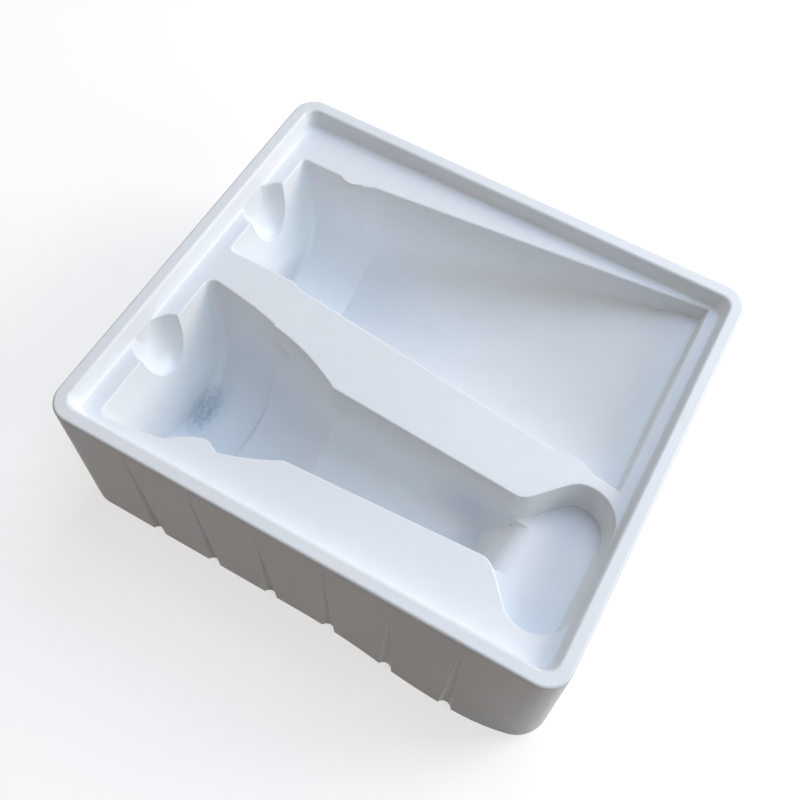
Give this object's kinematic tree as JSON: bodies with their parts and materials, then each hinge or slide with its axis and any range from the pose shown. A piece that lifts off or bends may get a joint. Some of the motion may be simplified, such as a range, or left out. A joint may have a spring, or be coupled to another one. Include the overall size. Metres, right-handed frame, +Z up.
{
  "type": "thermoformed tray",
  "caption": "Deep formed plastic tray with a bottle-shaped well, a tube-shaped well and a recessed deck inside a raised rim.",
  "frame": {"origin": "centre of the tray's bounds, on the plane its foot rests on", "axes": "+Z up out of the wells, +X along the tray from the cap end to the crimp end, +Y from the bottle's well to the tube's well"},
  "size_m": [0.204, 0.1784, 0.0735],
  "materials": {
    "tray": "satin pale blue-white polystyrene sheet, slightly hazy"
  },
  "bodies": {
    "root": {"tray": "tray"}
  },
  "joints": []
}
